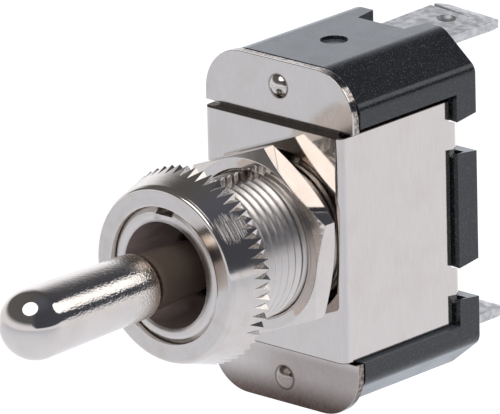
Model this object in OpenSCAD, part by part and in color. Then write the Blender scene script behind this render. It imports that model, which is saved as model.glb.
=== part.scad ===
// Panel toggle switch with a threaded bushing, two nuts and two push-on blades.
// +Y points into the panel, +Z runs up the long side of the body, and the lever points to -Y.
// The origin is on the bushing axis at the front face of the bracket.

/* [Show] */
// which piece to draw

/* [Base] */
// height of the moulded base along Z
base_h = 28.4; // [28.4:0.1:28.8]
// width of the base over its flanks
base_w = 15.9; // [15.8:0.1:16.4]
// depth of the base behind the cover plate
base_d = 13.8; // [13.7:0.1:14.4]
// rise of the base above the bushing axis, from its slack in the bracket
base_rise = 0.2; // [0:0.05:0.2]
// width of the flat on the top and bottom ends
end_flat_w = 9.3; // [8.6:0.1:9.8]
// drop of the sloped corner along Z
corner_drop = 2.7; // [2.2:0.1:2.8]
// radius of the softened edge beside each flat end
end_edge_r = 1.8; // [1:0.1:2]
// radius of the softened edge beside each flank
flank_edge_r = 1.1; // [0.4:0.1:1.2]
// height of the side recess for the bracket wall
recess_h = 19.5; // [19.3:0.1:19.6]
// depth of the rear flange that stays proud of the bracket walls
flange_d = 2.3; // [2.2:0.05:2.4]
// width of the main cavity
cavity_w = 9.2; // [9:0.1:9.6]
// height of the main cavity
cavity_h = 21.2; // [20.8:0.1:21.6]
// thickness of the rear wall of the base
rear_wall_t = 3.2; // [3.1:0.1:3.4]
// radius of the shallow mark on the top end
mark_r = 1.15; // [0.8:0.05:1.4]
// distance of the mark behind the bracket face
mark_y = 7.6; // [6:0.1:9]

/* [Cover and bracket] */
// sheet thickness of the bracket
bracket_t = 0.9; // [0.8:0.05:0.9]
// height of the bracket
bracket_h = 18.8; // [18.4:0.1:18.9]
// width over the bracket walls
bracket_w = 14.6; // [14.5:0.05:14.7]
// outside radius of the bracket bends
bend_r = 0.65; // [0.5:0.05:0.8]
// thickness of the cover plate
cover_t = 0.8; // [0.7:0.05:0.8]
// height of the cover plate
cover_h = 28.7; // [28.6:0.1:28.8]
// width of the rounded ends of the cover plate
cover_w = 15.7; // [15.5:0.1:15.9]
// corner radius of the cover plate ends
cover_corner_r = 3.8; // [3:0.1:4]
// distance of each pressed dome from the bushing axis
dome_z = 12.2; // [11.9:0.05:12.2]
// radius of each dome at the surface of the cover plate
dome_r = 0.96; // [0.8:0.02:1]
// height of each dome
dome_h = 0.5; // [0.4:0.05:0.55]

/* [Bushing and nuts] */
// outside diameter of the bushing thread
thread_d = 11.906; // [11.7:0.002:11.95]
// length of the bushing in front of the bracket
bushing_l = 12.75; // [12.4:0.05:12.9]
// diameter of the open mouth of the bushing
mouth_d = 8.74; // [8.6:0.02:8.9]
// width of the keyway along the bushing
keyway_w = 1.75; // [1.6:0.05:1.9]
// distance of the keyway floor from the bushing axis
keyway_floor = 4.95; // [4.9:0.05:5.2]
// hexagon nut size over its flats
hex_flats = 14.29; // [14:0.01:14.5]
// hexagon nut thickness
hex_t = 2.05; // [1.8:0.05:2.1]
// gap between the hexagon nut and the bracket at rest
hex_gap = 0.8; // [0.75:0.05:0.9]
// outside radius of the ring nut
ring_r = 8.16; // [8:0.02:8.3]
// ring nut thickness
ring_t = 3.55; // [3.4:0.05:3.6]
// number of grip grooves around the ring nut
ring_grooves = 60; // [40:2:64]
// depth of each grip groove at the rear of the ring nut
groove_depth = 0.5; // [0.3:0.05:0.55]

/* [Lever] */
// radius of the ball end of the lever
tip_r = 2.88; // [2.7:0.02:3]
// radius of the lever where its body ends near the bushing
body_end_r = 2.66; // [2.5:0.02:2.7]
// distance of the centre of the ball end from the bracket face
tip_y = 27.7; // [26:0.1:29]
// distance of the lever's shoulder from the bracket face
shoulder_y = 15.5; // [15.3:0.1:16]
// distance of the tilt axis from the bracket face
pivot_y = 3.6; // [3.5:0.05:3.7]
// radius of the ball that sits in the bushing
ball_r = 3.45; // [3.4:0.01:3.45]
// angle of the lever as drawn
lever_angle = 0; // [-12:1:12]

/* [Contacts and terminals] */
// width of each push-on blade
blade_w = 6.3; // [6.2:0.1:6.3]
// thickness of the terminal strip
blade_t = 0.8; // [0.75:0.05:0.8]
// length of each blade behind the base
blade_l = 8.7; // [8:0.1:9]
// distance of each blade's mid plane from the middle of the base
blade_z = 12.2; // [12.1:0.05:12.25]
// radius of the detent dimple in each blade
detent_r = 0.85; // [0.6:0.05:1]
// width of the rocker
rocker_w = 4.6; // [4.2:0.1:4.6]
// distance of each contact from the rocker's pivot
contact_z = 6; // [5.8:0.1:6.1]

/* [Hidden] */
// facets of large, middle and small round shapes
fine = 54;
medium = 24;
small = 16;
eps = 0.01;
// planes along Y
cover_y = bracket_t;
base_y = bracket_t + cover_t;
rear_y = base_y + base_d;
floor_y = rear_y - rear_wall_t;
flange_y = rear_y - flange_d;
wall_end_y = flange_y - 0.25;
leg_y = floor_y - blade_t;
stake_y = base_y + 0.5;
// bracket walls in their recesses, and the tabs folded into the notches of the flange
recess_x = bracket_w / 2 - bracket_t - 0.05;
cover_end_z = 9.6;
dome_skin = 0.35;
dome_ball_r = (dome_r * dome_r + dome_h * dome_h) / (2 * dome_h);
dome_centre_y = cover_y - dome_h + dome_ball_r;
tab_z = 6.13;
tab_root_h = 2.94;
tab_end_h = 2.2;
tab_reach_y = flange_y + 0.92;
notch_x = 4.9;
notch_front_h = 2.6;
notch_rear_h = 3.2;
notch_root_h = 3.1;
// rebate for the insulating sheet, pockets inside the base and gaps between its rear posts
rebate_w = 12;
rebate_end_w = 9.8;
rebate_mid_h = 16;
rebate_h = 26.2;
rebate_t = 0.25;
pocket_w = 6.6;
pocket_h = 25.7;
post_gap_front_w = 4.9;
post_gap_rear_w = 5.7;
blade_upper_z = base_rise + blade_z;
blade_lower_z = base_rise - blade_z;
// bores and stake of the bushing
thread_r = thread_d / 2;
spigot_r = 4.85;
stake_r = 5.35;
spigot_hole_r = spigot_r + 0.03;
seat_y = 7.25;
bore_r = 3.6;
lip_r = 2.95;
lip_t = 1.4;
face_r = 5.18;
front_cone = 0.6;
nut_bore_r = thread_r + 0.045;
// pin, lever and plunger
pin_r = 0.8;
pin_l = 8.4;
slot_reach = 4.3;
shoulder_r = 0.75;
neck_r = 2.15;
neck_y = -9.9;
waist_r = 1.75;
tail_r = 2.2;
tail_y = 4.4;
socket_r = 1.52;
socket_y = -2.1;
plunger_r = 1.45;
plunger_tip_y = 5.8;
plunger_back_y = 1.3;
spring_turns = 5;
lever_sides = 36;
// profiles of the two nuts
ring_face_r = 6.95;
ring_bevel_r = 7.3;
hex_turn = 21;
hex_chamfer = 0.55;
// rocker, its support and the contacts
rocker_y = 8.9;
rocker_ratio = 0.7;
rocker_arm_t = 0.9;
rocker_arm_out = 0.4;
rocker_hump = 2.3;
dish_r = 3.87;
dish_centre = 5.45;
groove_r = 0.56;
ridge_r = 0.5;
cheek_t = 0.6;
leg_w = 3.2;
fixed_face_y = rocker_y + 1.82;
stop_y = rocker_y + 1.42;
rivet_r = 0.9;
rivet_head_r = 1.5;
rivet_clear = 0.02;
upper_rivet_z = 9.4;
lower_rivet_z = -8.6;
support_rivet_z = 2.6;

// the eight-cornered end view of the base, with softened edges
module base_outline() {
    half_w = base_w / 2;
    half_h = base_h / 2;
    flat = end_flat_w / 2;
    knee = half_h - corner_drop;
    slope = atan(corner_drop / (half_w - flat));
    cut_a = end_edge_r * tan(slope / 2);
    cut_b = flank_edge_r * tan((90 - slope) / 2);
    quarter = [
        [flat - cut_a, half_h],
        [flat + cut_a * cos(slope), half_h - cut_a * sin(slope)],
        [half_w - cut_b * cos(slope), knee + cut_b * sin(slope)],
        [half_w, knee - cut_b]
    ];
    for (sx = [-1, 1], sz = [-1, 1]) {
        translate([sx * (flat - cut_a), sz * (half_h - end_edge_r)]) circle(r = end_edge_r, $fn = medium);
        translate([sx * (half_w - flank_edge_r), sz * (knee - cut_b)]) circle(r = flank_edge_r, $fn = medium);
    }
    polygon(concat(
        [for (i = [0 : 3]) quarter[i]],
        [for (i = [3 : -1 : 0]) [quarter[i][0], -quarter[i][1]]],
        [for (i = [0 : 3]) [-quarter[i][0], -quarter[i][1]]],
        [for (i = [3 : -1 : 0]) [-quarter[i][0], quarter[i][1]]]
    ));
}

// stands a drawing in X and Z upright, from y0 over a depth along +Y
module upright(y0, depth) {
    translate([0, y0 + depth, 0]) rotate([90, 0, 0]) linear_extrude(height = depth) children();
}

// stands a drawing in Y and Z across, from x0 over a width along +X
module across(x0, width) {
    translate([x0, 0, 0]) rotate([90, 0, 90]) linear_extrude(height = width) children();
}

// a straight round bar along +Y
module bar_y(y0, y1, r, sides = medium) {
    translate([0, y0, 0]) rotate([-90, 0, 0]) cylinder(r = r, h = y1 - y0, $fn = sides);
}

// a round bar along X, centred on X = 0
module bar_x(length, y, r) {
    translate([-length / 2, y, 0]) rotate([0, 90, 0]) cylinder(r = r, h = length, $fn = small);
}

// a box given by its half width in X and its ranges in Y and Z
module slab(half_x, y0, y1, z0, z1) {
    translate([-half_x, y0, z0]) cube([2 * half_x, y1 - y0, z1 - z0]);
}

// a shape turned about the Y axis from a profile of radius and distance along +Y
module turned_y(sides = fine) {
    rotate([-90, 0, 0]) rotate_extrude($fn = sides) children();
}

// keeps the half of a drawing that a turned shape needs
module right_half() {
    intersection() {
        children();
        translate([0, -50]) square([50, 100]);
    }
}

// one notch through the rear flange on the +X side, which widens to the rear
module tab_notch(side) {
    beyond = 1;
    half_w = base_w / 2;
    spread = (notch_rear_h - notch_front_h) / 2;
    out_h = notch_rear_h / 2 + spread * beyond / flange_d;
    middle = side * tab_z + base_rise;
    across(notch_x, half_w + beyond - notch_x) translate([0, middle]) polygon([
        [flange_y, -notch_front_h / 2],
        [rear_y + beyond, -out_h],
        [rear_y + beyond, out_h],
        [flange_y, notch_front_h / 2]
    ]);
    // room for the wide root of the tab, sloped out to the flank
    upright(flange_y - eps, tab_reach_y + 0.1 - flange_y) polygon([
        [notch_x, side * tab_z - notch_root_h / 2],
        [bracket_w / 2, side * tab_z - notch_root_h / 2],
        [half_w, middle - notch_front_h / 2],
        [half_w + beyond, middle - notch_front_h / 2],
        [half_w + beyond, middle + notch_front_h / 2],
        [half_w, middle + notch_front_h / 2],
        [bracket_w / 2, side * tab_z + notch_root_h / 2],
        [notch_x, side * tab_z + notch_root_h / 2]
    ]);
}

// the gap between the two rear posts of one end, which widens to the rear
module post_gap(z0, height) {
    beyond = 1;
    out_w = post_gap_rear_w + (post_gap_rear_w - post_gap_front_w) * beyond / flange_d;
    translate([0, 0, z0]) linear_extrude(height = height) polygon([
        [-post_gap_front_w / 2, flange_y],
        [-out_w / 2, rear_y + beyond],
        [out_w / 2, rear_y + beyond],
        [post_gap_front_w / 2, flange_y]
    ]);
}

// slot that a blade passes through
module blade_slot(z) {
    clear = 0.03;
    slab(blade_w / 2 + clear, floor_y - 1, rear_y + 1, z - blade_t / 2 - clear, z + blade_t / 2 + clear);
}

module base() {
    stop_x = leg_w / 2 + 0.15;
    stop_half_z = 0.8;
    color([0.12, 0.12, 0.14])
    difference() {
        translate([0, 0, base_rise]) upright(base_y, base_d) base_outline();
        // side recesses for the bracket walls
        for (sx = [-1, 1]) {
            translate([sx > 0 ? recess_x : -base_w / 2 - 1, base_y - eps, base_rise - recess_h / 2])
                cube([base_w / 2 + 1 - recess_x, flange_y - base_y + eps, recess_h]);
        }
        // notches for the four folded tabs
        for (side = [-1, 1]) {
            tab_notch(side);
            mirror([1, 0, 0]) tab_notch(side);
        }
        // rebate for the insulating sheet, then the cavity and the two terminal pockets
        slab(rebate_w / 2, base_y - eps, base_y + rebate_t, -rebate_mid_h / 2, rebate_mid_h / 2);
        slab(rebate_end_w / 2, base_y - eps, base_y + rebate_t, -rebate_h / 2, rebate_h / 2);
        bar_y(base_y - eps, stake_y + 0.2, stake_r + 0.2, fine);
        slab(cavity_w / 2, base_y, floor_y, -cavity_h / 2, cavity_h / 2);
        slab(pocket_w / 2, base_y, floor_y, -pocket_h / 2, pocket_h / 2);
        blade_slot(blade_upper_z);
        blade_slot(blade_lower_z);
        post_gap(blade_upper_z, base_h);
        post_gap(blade_lower_z - base_h, base_h);
        // shallow round mark on the top end
        translate([0, mark_y, base_rise + base_h / 2 - 0.3]) cylinder(r = mark_r, h = 1, $fn = medium);
        // holes and rear counterbores for the rivets
        for (z = [upper_rivet_z, lower_rivet_z, -support_rivet_z, support_rivet_z]) {
            translate([0, 0, z]) {
                bar_y(floor_y - 1, rear_y + 1, rivet_r + rivet_clear, small);
                bar_y(rear_y - 0.9, rear_y + 1, rivet_head_r + 0.25, small);
            }
        }
    }
    // two stops beside the lower leg, for the free end of the rocker
    color([0.12, 0.12, 0.14])
    for (sx = [-1, 1]) {
        translate([sx > 0 ? stop_x : -stop_x - 1, stop_y, -contact_z - stop_half_z])
            cube([1, floor_y - stop_y + eps, 2 * stop_half_z]);
    }
}

module insulator_slab(width, height) {
    clear = 0.05;
    slab(width / 2 - clear, base_y + eps, base_y + rebate_t - eps, -height / 2 + clear, height / 2 - clear);
}

module insulator() {
    color([0.45, 0.3, 0.2])
    difference() {
        union() {
            insulator_slab(rebate_w, rebate_mid_h);
            insulator_slab(rebate_end_w, rebate_h);
        }
        bar_y(base_y - 1, base_y + 1, stake_r + 0.1);
    }
}

// one rounded end of the cover plate
module cover_end() {
    straight = cover_w / 2 - cover_corner_r;
    corner_z = cover_h / 2 - cover_corner_r;
    intersection() {
        union() {
            translate([-straight, 0]) square([2 * straight, cover_h / 2]);
            translate([-cover_w / 2, 0]) square([cover_w, corner_z]);
            for (sx = [-1, 1]) {
                translate([sx * straight, corner_z]) circle(r = cover_corner_r, $fn = fine);
            }
        }
        translate([-cover_w, cover_end_z]) square([2 * cover_w, cover_h]);
    }
}

// a ball cap that stands out of the cover plate towards -Y
module dome() {
    turned_y(medium) right_half() intersection() {
        translate([0, dome_centre_y]) circle(r = dome_ball_r, $fn = medium);
        translate([0, cover_y - 1]) square([dome_r + 0.2, 1.1]);
    }
}

// the hollow that the press leaves behind a dome
module dome_hollow() {
    hollow_r = dome_ball_r - dome_skin;
    back_y = cover_y + cover_t + 0.1;
    turned_y(medium) right_half() {
        translate([0, dome_centre_y]) circle(r = hollow_r, $fn = medium);
        translate([0, dome_centre_y]) square([hollow_r, back_y - dome_centre_y]);
    }
}

module cover_plate() {
    tongue_x = recess_x - 0.05;
    color([0.75, 0.74, 0.72])
    difference() {
        union() {
            upright(cover_y, cover_t) {
                cover_end();
                rotate(180) cover_end();
                translate([-tongue_x, -cover_end_z - 0.1]) square([2 * tongue_x, 2 * cover_end_z + 0.2]);
            }
            for (sz = [-1, 1]) {
                translate([0, 0, sz * dome_z]) dome();
            }
        }
        for (sz = [-1, 1]) {
            translate([0, 0, sz * dome_z]) dome_hollow();
        }
        bar_y(-1, base_y + 1, spigot_hole_r, fine);
    }
}

// the U shape of the bracket seen along Z
module bracket_section() {
    half = bracket_w / 2;
    inner_x = half - bracket_t;
    inner_r = 0.15;
    difference() {
        union() {
            translate([-half, bend_r]) square([bracket_w, wall_end_y - bend_r]);
            translate([-half + bend_r, 0]) square([bracket_w - 2 * bend_r, bend_r + 1]);
            for (sx = [-1, 1]) {
                translate([sx * (half - bend_r), bend_r]) circle(r = bend_r, $fn = medium);
            }
        }
        translate([-inner_x, bracket_t + inner_r]) square([2 * inner_x, wall_end_y]);
        translate([-inner_x + inner_r, bracket_t]) square([2 * (inner_x - inner_r), 1]);
        for (sx = [-1, 1]) {
            translate([sx * (inner_x - inner_r), bracket_t + inner_r]) circle(r = inner_r, $fn = small);
        }
    }
}

// one tapered tab of the bracket on the +X side, folded in over the base
module folded_tab() {
    half = bracket_w / 2;
    intersection() {
        union() {
            translate([half - bracket_t, wall_end_y - 1, -tab_root_h])
                cube([bracket_t, tab_reach_y - wall_end_y + 1 - bend_r, 2 * tab_root_h]);
            translate([half - bend_r, tab_reach_y - bend_r, -tab_root_h])
                cylinder(r = bend_r, h = 2 * tab_root_h, $fn = small);
            translate([notch_x + 0.1, flange_y + 0.04, -tab_root_h])
                cube([half - bend_r - notch_x - 0.1, tab_reach_y - flange_y - 0.04, 2 * tab_root_h]);
        }
        across(0, bracket_w) polygon([
            [wall_end_y - 1, -tab_root_h / 2],
            [wall_end_y, -tab_root_h / 2],
            [tab_reach_y, -tab_end_h / 2],
            [tab_reach_y, tab_end_h / 2],
            [wall_end_y, tab_root_h / 2],
            [wall_end_y - 1, tab_root_h / 2]
        ]);
    }
}

module bracket() {
    color([0.75, 0.73, 0.7])
    difference() {
        union() {
            translate([0, 0, -bracket_h / 2]) linear_extrude(height = bracket_h) bracket_section();
            for (sz = [-1, 1]) {
                translate([0, 0, sz * tab_z]) {
                    folded_tab();
                    mirror([1, 0, 0]) folded_tab();
                }
            }
        }
        bar_y(-1, bracket_t + 1, spigot_hole_r, fine);
    }
}

module bushing() {
    end_y = -bushing_l;
    slot_half = pin_r + 0.05;
    color([0.72, 0.7, 0.67])
    difference() {
        turned_y() polygon([
            [0, end_y],
            [face_r, end_y],
            [thread_r, end_y + front_cone],
            [thread_r, 0],
            [spigot_r, 0],
            [spigot_r, base_y],
            [stake_r, base_y + 0.02],
            [stake_r - 0.1, stake_y],
            [0, stake_y]
        ]);
        bar_y(end_y - 1, -seat_y - lip_t, mouth_d / 2, fine);
        bar_y(end_y - 1, stake_y + 1, lip_r);
        bar_y(-seat_y, stake_y + 1, bore_r, fine);
        // keyway along the thread
        slab(keyway_w / 2, end_y - 1, -eps, keyway_floor, thread_r + 1);
        // two inside slots for the pivot pin, open to the rear
        slab(slot_reach, -pivot_y, stake_y + 1, -slot_half, slot_half);
        bar_x(2 * slot_reach, -pivot_y, slot_half);
    }
}

// turns a piece with the lever about the tilt axis
module tilted() {
    translate([0, -pivot_y, 0]) rotate([lever_angle, 0, 0]) translate([0, pivot_y, 0]) children();
}

module lever() {
    color([0.78, 0.76, 0.73])
    tilted()
    difference() {
        turned_y(lever_sides) right_half() lever_profile();
        bar_y(socket_y, tail_y + 1, socket_r);
        bar_x(12, -pivot_y, pin_r + 0.04);
    }
}

// side outline of the bat lever: ball end, tapered body, rounded shoulder, neck, ball and tail
module lever_profile() {
    corner_y = -shoulder_y - shoulder_r;
    lean = asin((tip_r - body_end_r) / (tip_y + corner_y));
    translate([0, -tip_y]) circle(r = tip_r, $fn = lever_sides);
    translate([body_end_r - shoulder_r, corner_y]) circle(r = shoulder_r, $fn = medium);
    translate([0, -pivot_y]) circle(r = ball_r, $fn = 32);
    polygon([
        [0, -tip_y],
        [tip_r * cos(lean), -tip_y + tip_r * sin(lean)],
        [body_end_r, corner_y],
        [body_end_r - shoulder_r, corner_y + shoulder_r],
        [neck_r, -shoulder_y + 0.35],
        [neck_r, neck_y],
        [waist_r, neck_y + 0.4],
        [waist_r, -pivot_y],
        [tail_r, -pivot_y],
        [tail_r, tail_y],
        [0, tail_y]
    ]);
}

module pivot_pin() {
    color([0.6, 0.6, 0.62])
    bar_x(pin_l, -pivot_y, pin_r);
}

module plunger() {
    color([0.85, 0.82, 0.7])
    tilted()
    turned_y(medium) right_half() {
        translate([0, plunger_back_y]) square([plunger_r, plunger_tip_y - plunger_back_y]);
        translate([0, plunger_tip_y]) circle(r = plunger_r, $fn = medium);
    }
}

// the coil spring behind the plunger, drawn as a stack of joined turns
module plunger_spring() {
    clear = 0.05;
    pitch = (plunger_back_y - socket_y - 2 * clear) / spring_turns;
    wire_r = pitch / 2 + 0.01;
    coil_r = 1.12;
    color([0.7, 0.7, 0.72])
    tilted()
    for (i = [0 : spring_turns - 1]) {
        translate([0, socket_y + clear + pitch * (i + 0.5), 0])
            turned_y(small) translate([coil_r, 0]) circle(r = wire_r, $fn = 13);
    }
}

// turns a piece with the rocker, which answers the lever the other way
module rocked() {
    translate([0, rocker_y, 0]) rotate([-rocker_ratio * lever_angle, 0, 0]) children();
}

// side view of the rocker in Z and Y, with its pivot at the origin and a dish for the plunger
module rocker_side() {
    arm_z = contact_z + 1.3;
    arm_in = rocker_arm_out - rocker_arm_t;
    near_half = [
        [2.6, -rocker_hump],
        [4.1, arm_in],
        [arm_z, arm_in],
        [arm_z, rocker_arm_out],
        [3.6, rocker_arm_out],
        [1.9, -0.9],
        [1.1, 0.3]
    ];
    last = len(near_half) - 1;
    difference() {
        polygon(concat(
            near_half,
            [for (i = [last : -1 : 0]) [-near_half[i][0], near_half[i][1]]]
        ));
        translate([0, -dish_centre]) circle(r = dish_r, $fn = fine);
        circle(r = groove_r, $fn = medium);
        translate([-groove_r, 0]) square([2 * groove_r, 2]);
    }
}

module rocker() {
    color([0.72, 0.5, 0.25])
    rocked()
    translate([-rocker_w / 2, 0, 0]) rotate([0, 90, 0]) linear_extrude(height = rocker_w) rocker_side();
}

module moving_contact() {
    dome = 3;
    height = 0.5;
    color([0.85, 0.85, 0.86])
    rocked()
    translate([0, 0, contact_z])
    turned_y(small) intersection() {
        translate([0, rocker_arm_out + height - dome]) circle(r = dome, $fn = fine);
        translate([0, rocker_arm_out]) square([1.1, 1]);
    }
}

module rocker_support() {
    cheek_x = rocker_w / 2 + 0.12;
    foot_y = leg_y - cheek_t;
    ridge_x = rocker_w / 2 + 0.2;
    color([0.72, 0.5, 0.25])
    difference() {
        union() {
            slab(cheek_x + cheek_t, foot_y, leg_y, -support_rivet_z - 1, support_rivet_z + 1);
            slab(ridge_x, rocker_y, foot_y + 0.1, -ridge_r + 0.1, ridge_r - 0.1);
            bar_x(2 * ridge_x, rocker_y, ridge_r);
            for (sx = [-1, 1]) {
                translate([sx > 0 ? cheek_x : -cheek_x - cheek_t, rocker_y - 1.3, -leg_w / 2])
                    cube([cheek_t, foot_y + 0.1 - rocker_y + 1.3, leg_w]);
            }
        }
        for (z = [-support_rivet_z, support_rivet_z]) {
            translate([0, 0, z]) bar_y(leg_y - 2, leg_y + 1, rivet_r + rivet_clear, small);
        }
    }
}

module fixed_contact() {
    color([0.85, 0.85, 0.86])
    translate([0, 0, contact_z]) bar_y(fixed_face_y, leg_y, 1.2, small);
}

// one push-on blade with cut corners and a detent, lying flat in X and Y
module blade(z) {
    half = blade_w / 2;
    end_y = rear_y + blade_l;
    cut = 1;
    detent_depth = 0.4;
    detent_y = end_y - 3.1;
    ball = (detent_r * detent_r + detent_depth * detent_depth) / (2 * detent_depth);
    difference() {
        translate([0, 0, z - blade_t / 2]) linear_extrude(height = blade_t) polygon([
            [-half, leg_y],
            [-half, end_y - cut],
            [-half + cut, end_y],
            [half - cut, end_y],
            [half, end_y - cut],
            [half, leg_y]
        ]);
        translate([0, detent_y, z + blade_t / 2 + ball - detent_depth]) sphere(r = ball, $fn = medium);
    }
}

module terminal_upper() {
    color([0.72, 0.71, 0.7])
    difference() {
        union() {
            blade(blade_upper_z);
            slab(leg_w / 2, leg_y, floor_y - 0.02, contact_z - 1.4, blade_upper_z);
        }
        translate([0, 0, upper_rivet_z]) bar_y(leg_y - 1, floor_y + 1, rivet_r + rivet_clear, small);
    }
}

module terminal_lower() {
    color([0.72, 0.71, 0.7])
    difference() {
        union() {
            blade(blade_lower_z);
            slab(leg_w / 2, leg_y, floor_y - 0.02, blade_lower_z, support_rivet_z + 1);
        }
        for (z = [lower_rivet_z, -support_rivet_z, support_rivet_z]) {
            translate([0, 0, z]) bar_y(leg_y - 1, floor_y + 1, rivet_r + rivet_clear, small);
        }
    }
}

// a rivet along Y with a flat head inside and a set head in the rear counterbore
module rivet(z, inner_y) {
    color([0.7, 0.6, 0.35])
    translate([0, 0, z]) {
        bar_y(inner_y - 0.35, inner_y, rivet_head_r, small);
        bar_y(inner_y - eps, rear_y - 0.5, rivet_r, small);
        bar_y(rear_y - 0.89, rear_y - 0.45, rivet_head_r, small);
    }
}

module rivet_upper() {
    rivet(upper_rivet_z, leg_y);
}

module rivet_lower() {
    rivet(lower_rivet_z, leg_y);
}

module support_rivet() {
    rivet(-support_rivet_z, leg_y - cheek_t);
    rivet(support_rivet_z, leg_y - cheek_t);
}

module ring_nut() {
    front = -bushing_l - 0.2;
    cone_back = front + 1.35;
    back = front + ring_t;
    pitch = 360 / ring_grooves;
    half_gap = 0.47 * 2 * PI * ring_r / ring_grooves;
    run = back - cone_back;
    lean = atan(groove_depth / run);
    lead = 0.4;
    edge = 0.1;
    color([0.75, 0.73, 0.7])
    difference() {
        turned_y() polygon([
            [nut_bore_r, front + edge / 2],
            [nut_bore_r + edge / 2, front],
            [ring_face_r, front],
            [ring_bevel_r, front + 0.12],
            [ring_r, cone_back],
            [ring_r, back - edge],
            [ring_r - edge, back],
            [nut_bore_r, back]
        ]);
        // grip grooves that start at the cone and grow deeper and wider to the rear
        for (i = [0 : ring_grooves - 1]) {
            rotate([0, (i + 0.5) * pitch, 0])
            translate([0, cone_back, ring_r - 0.03])
            rotate([-90 - lean, 0, 0])
            translate([0, 0, -lead])
            grip_groove(run + 1 + lead, 2 * half_gap, 2 * groove_depth);
        }
    }
}

// a straight groove with a V section
module grip_groove(length, half_gap, depth) {
    linear_extrude(height = length) polygon([[-half_gap, -depth], [half_gap, -depth], [0, 0]]);
}

// the cone that opens a nut's bore at one face, towards -Y or +Y
module thread_lead_in(face_y, way) {
    depth = 0.2;
    turned_y() polygon([
        [0, face_y - way * depth],
        [nut_bore_r, face_y - way * depth],
        [nut_bore_r + 1.2, face_y + way],
        [0, face_y + way]
    ]);
}

module hex_nut() {
    front = -hex_gap - hex_t;
    back = -hex_gap;
    flat_r = hex_flats / 2;
    corner_r = flat_r / cos(30);
    reach = corner_r + 0.1;
    color([0.75, 0.73, 0.7])
    difference() {
        intersection() {
            translate([0, front, 0]) rotate([-90, 0, 0]) rotate([0, 0, -hex_turn])
                cylinder(r = corner_r, h = hex_t, $fn = 6);
            turned_y() polygon([
                [0, front],
                [flat_r - 0.1, front],
                [reach, front + hex_chamfer],
                [reach, back - hex_chamfer],
                [flat_r - 0.1, back],
                [0, back]
            ]);
        }
        bar_y(front - 1, back + 1, nut_bore_r, fine);
        // small lead-in at both faces
        thread_lead_in(front, -1);
        thread_lead_in(back, 1);
    }
}

base();
insulator();
cover_plate();
bracket();
bushing();
lever();
pivot_pin();
plunger();
plunger_spring();
rocker();
moving_contact();
rocker_support();
fixed_contact();
terminal_upper();
terminal_lower();
rivet_upper();
rivet_lower();
support_rivet();
ring_nut();
hex_nut();
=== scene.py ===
import math

import bmesh
import bpy
from mathutils import Matrix, Vector


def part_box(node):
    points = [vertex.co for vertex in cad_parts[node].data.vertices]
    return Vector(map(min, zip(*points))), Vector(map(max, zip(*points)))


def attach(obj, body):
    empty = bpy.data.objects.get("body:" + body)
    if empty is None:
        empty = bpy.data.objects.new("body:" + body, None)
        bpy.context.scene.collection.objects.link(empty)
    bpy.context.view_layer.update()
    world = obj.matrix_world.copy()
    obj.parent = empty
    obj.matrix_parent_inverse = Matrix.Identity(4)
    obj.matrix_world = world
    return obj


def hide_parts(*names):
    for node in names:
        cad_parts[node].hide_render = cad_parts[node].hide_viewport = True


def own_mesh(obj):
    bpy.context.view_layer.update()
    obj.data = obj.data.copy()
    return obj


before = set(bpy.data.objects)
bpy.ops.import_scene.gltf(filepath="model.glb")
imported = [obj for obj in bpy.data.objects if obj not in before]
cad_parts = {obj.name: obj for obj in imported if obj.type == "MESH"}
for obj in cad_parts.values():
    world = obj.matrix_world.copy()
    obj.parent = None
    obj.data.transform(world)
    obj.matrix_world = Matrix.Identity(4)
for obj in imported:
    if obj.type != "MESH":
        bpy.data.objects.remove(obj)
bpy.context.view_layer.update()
MM = 0.001

# Camera.
# The photograph is taken with a long lens from the right, in front and a little above,
# with the lever towards the viewer and the horizon turned by about a degree.
azimuth, elevation, roll = (math.radians(a) for a in (42.58, 18.26, 1.342))
camera_distance = 900 * MM
sensor_width = 36.0
frame_width_px = 500
focal_px = 11326.5
slide_right, slide_up = -1.855 * MM, 2.279 * MM
nearest_seen, farthest_seen = 0.05, 20

right = Vector((math.cos(azimuth), math.sin(azimuth), 0))
up = Vector(
    (
        -math.sin(azimuth) * math.sin(elevation),
        math.cos(azimuth) * math.sin(elevation),
        math.cos(elevation),
    )
)
back = right.cross(up)
camera_data = bpy.data.cameras.new("long_lens")
camera_data.sensor_width = sensor_width
camera_data.lens = focal_px / frame_width_px * sensor_width
camera_data.clip_start = nearest_seen
camera_data.clip_end = farthest_seen
camera = bpy.data.objects.new("camera", camera_data)
turned_right = math.cos(roll) * right - math.sin(roll) * up
turned_up = math.sin(roll) * right + math.cos(roll) * up
place = Matrix((turned_right, turned_up, back)).transposed().to_4x4()
place.translation = back * camera_distance + right * slide_right + up * slide_up
camera.matrix_world = place
bpy.context.scene.collection.objects.link(camera)
bpy.context.scene.camera = camera
bpy.context.scene.view_settings.view_transform = "Standard"

# White table.
# White paper lies below the object, in a room that is as white. The paper's glow fades towards
# the front, where the photograph's paper is greyer and a little blue.
table_drop = 250 * MM
paper_reach = 3.0
paper_lean = -0.4
paper_fade = (-0.45, 0.62)
front_glow, rear_glow = (0.25, 0.29, 0.37), (0.58, 0.58, 0.6)
right_glow_place, right_glow = 0.76, (0.41, 0.43, 0.5)
light_on_matt = 0.62


def link_object(name, mesh):
    """Adds a mesh to the scene as an object at the origin."""
    obj = bpy.data.objects.new(name, mesh)
    bpy.context.scene.collection.objects.link(obj)
    return obj


def mesh_from(name, points, faces):
    """A mesh from lists of points and faces, in metres."""
    mesh = bpy.data.meshes.new(name)
    mesh.from_pydata(points, [], faces)
    mesh.update()
    return mesh


def fill(tree, node, inputs):
    """Sets each input of a node to a value, or links it to a socket."""
    for name, value in inputs.items():
        if isinstance(value, bpy.types.NodeSocket):
            tree.links.new(value, node.inputs[name])
        else:
            node.inputs[name].default_value = value


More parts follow.
